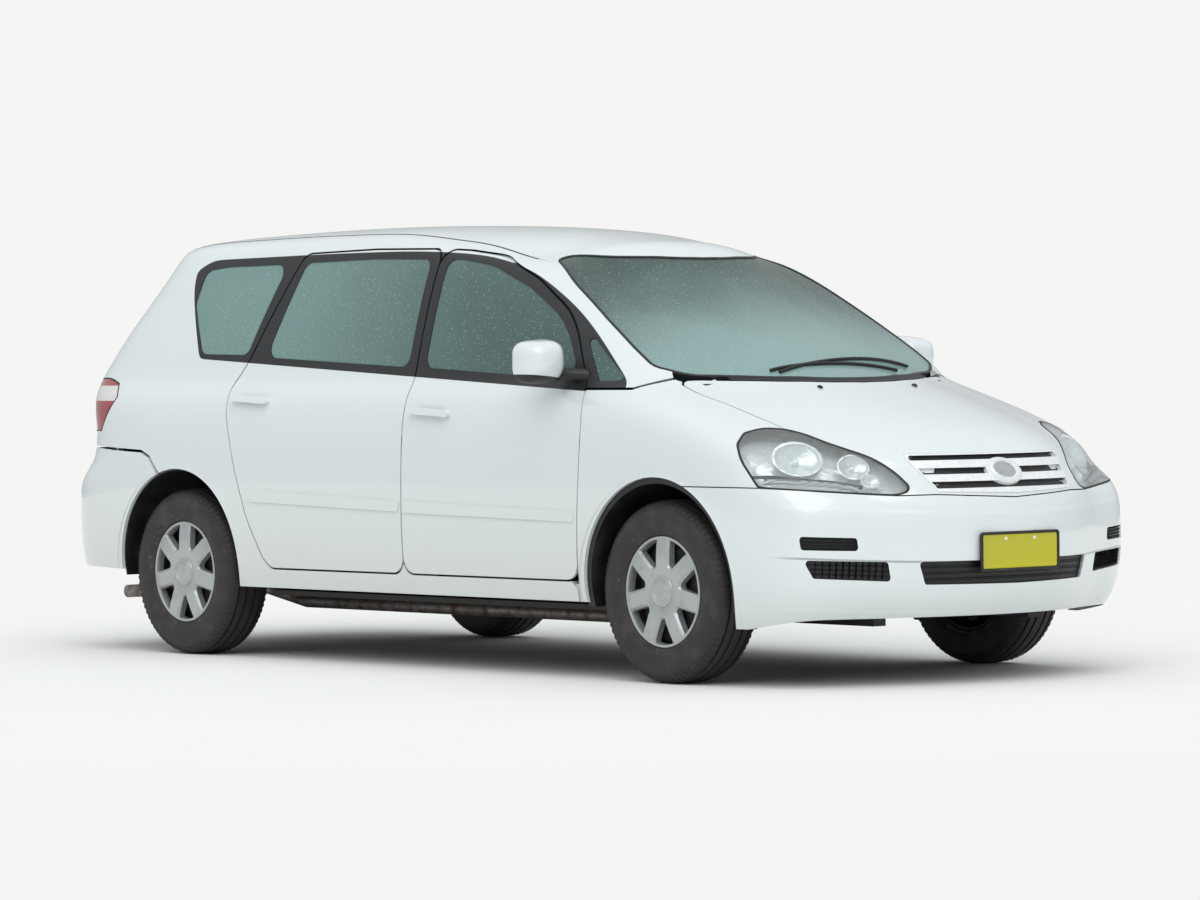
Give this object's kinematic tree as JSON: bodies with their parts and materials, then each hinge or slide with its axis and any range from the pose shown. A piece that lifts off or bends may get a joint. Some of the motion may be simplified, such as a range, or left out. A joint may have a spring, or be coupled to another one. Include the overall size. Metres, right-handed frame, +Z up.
{
  "type": "minivan",
  "caption": "Seven-seat minivan with four hinged doors, hood, tailgate, steered front wheels and hollow cabin",
  "frame": {"origin": "on the ground under the middle of the overall length", "axes": "+X forward, +Y to the vehicle's left, +Z up"},
  "size_m": [4.6887, 2.03, 1.6628],
  "materials": {
    "paint": "gloss white",
    "bumper_paint": "gloss white",
    "mirror_shell": "gloss white cap on a black base",
    "window_glass": "tinted",
    "lamp_lens": "clear",
    "tail_lens": "red and clear",
    "grille_metal": "bright",
    "black_plastic": "satin",
    "cabin_trim": "grained",
    "seat_cloth": "woven",
    "tyre_rubber": "tread",
    "wheel_alloy": "silver",
    "chassis_steel": "black underbody coat",
    "engine_block": "rough",
    "exhaust_steel": "dull",
    "body_steel": "underside coat"
  },
  "bodies": {
    "body": {"body_side_left": "paint", "body_side_right": "paint", "cowl": "black_plastic", "dashboard": "cabin_trim", "engine": "engine_block", "exhaust": "exhaust_steel", "fenders": "paint", "firewall": "body_steel", "floor_pan": "body_steel", "front_bumper": "bumper_paint", "front_seats": "seat_cloth", "front_subframe": "chassis_steel", "headlamps": "lamp_lens", "lower_grille": "black_plastic", "quarter_glass": "window_glass", "radiator_frame": "chassis_steel", "rear_axle": "chassis_steel", "rear_bumper": "bumper_paint", "roof_panel": "paint", "second_row_seat": "seat_cloth", "tail_lamps": "tail_lens", "third_row_seat": "seat_cloth", "wheel_liners": "black_plastic", "windshield": "window_glass", "wipers": "black_plastic"},
    "hood": {"hood": "paint", "grille": "grille_metal"},
    "tailgate": {"tailgate": "paint", "tailgate_glass": "window_glass"},
    "steering_wheel": {"steering_wheel": "black_plastic"},
    "front_door_left": {"front_door_left": "paint", "front_door_glass_left": "window_glass", "mirror_left": "mirror_shell"},
    "rear_door_left": {"rear_door_left": "paint", "rear_door_glass_left": "window_glass"},
    "knuckle_left": {"front_knuckle_left": "chassis_steel"},
    "wheel_front_left": {"tyre_front_left": "tyre_rubber", "rim_front_left": "wheel_alloy"},
    "wheel_rear_left": {"tyre_rear_left": "tyre_rubber", "rim_rear_left": "wheel_alloy"},
    "front_door_right": {"front_door_right": "paint", "front_door_glass_right": "window_glass", "mirror_right": "mirror_shell"},
    "rear_door_right": {"rear_door_right": "paint", "rear_door_glass_right": "window_glass"},
    "knuckle_right": {"front_knuckle_right": "chassis_steel"},
    "wheel_front_right": {"tyre_front_right": "tyre_rubber", "rim_front_right": "wheel_alloy"},
    "wheel_rear_right": {"tyre_rear_right": "tyre_rubber", "rim_rear_right": "wheel_alloy"}
  },
  "joints": [
    {"name": "front_door_left_hinge", "type": "hinge", "parent": "body", "child": "front_door_left", "pos_m": [0.95112, 0.8613, 0.65], "axis": [0, 0, -1], "range_deg": [0, 65]},
    {"name": "rear_door_left_hinge", "type": "hinge", "parent": "body", "child": "rear_door_left", "pos_m": [-0.0685, 0.8613, 0.65], "axis": [0, 0, -1], "range_deg": [0, 65]},
    {"name": "front_door_right_hinge", "type": "hinge", "parent": "body", "child": "front_door_right", "pos_m": [0.95112, -0.8613, 0.65], "axis": [0, 0, 1], "range_deg": [0, 65]},
    {"name": "rear_door_right_hinge", "type": "hinge", "parent": "body", "child": "rear_door_right", "pos_m": [-0.0685, -0.8613, 0.65], "axis": [0, 0, 1], "range_deg": [0, 65]},
    {"name": "hood_hinge", "type": "hinge", "parent": "body", "child": "hood", "pos_m": [1.36103, 0, 1.04201], "axis": [0, -1, 0], "range_deg": [0, 50]},
    {"name": "tailgate_hinge", "type": "hinge", "parent": "body", "child": "tailgate", "pos_m": [-1.85377, 0, 1.54633], "axis": [0, 1, 0], "range_deg": [0, 80]},
    {"name": "steer_left", "type": "hinge", "parent": "body", "child": "knuckle_left", "pos_m": [1.415, 0.7, 0.195], "axis": [0, -0.2722, 0.9623], "range_deg": [-33, 33]},
    {"name": "steer_right", "type": "hinge", "parent": "body", "child": "knuckle_right", "pos_m": [1.415, -0.7, 0.195], "axis": [0, 0.2722, 0.9623], "range_deg": [-33, 33]},
    {"name": "steering_wheel_turn", "type": "hinge", "parent": "body", "child": "steering_wheel", "pos_m": [0.65713, -0.3696, 0.98144], "axis": [-0.8829, 0, 0.4695], "range_deg": [-540, 540]},
    {"name": "wheel_front_left_spin", "type": "hinge", "parent": "knuckle_left", "child": "wheel_front_left", "pos_m": [1.415, 0.753, 0.324], "axis": [0, 1, 0], "continuous": true},
    {"name": "wheel_front_right_spin", "type": "hinge", "parent": "knuckle_right", "child": "wheel_front_right", "pos_m": [1.415, -0.753, 0.324], "axis": [0, 1, 0], "continuous": true},
    {"name": "wheel_rear_left_spin", "type": "hinge", "parent": "body", "child": "wheel_rear_left", "pos_m": [-1.41, 0.753, 0.324], "axis": [0, 1, 0], "continuous": true},
    {"name": "wheel_rear_right_spin", "type": "hinge", "parent": "body", "child": "wheel_rear_right", "pos_m": [-1.41, -0.753, 0.324], "axis": [0, 1, 0], "continuous": true}
  ],
  "couplings": [
    {"joint": "steer_right", "follows": "steer_left", "ratio": 1},
    {"joint": "steering_wheel_turn", "follows": "steer_left", "ratio": 16}
  ]
}
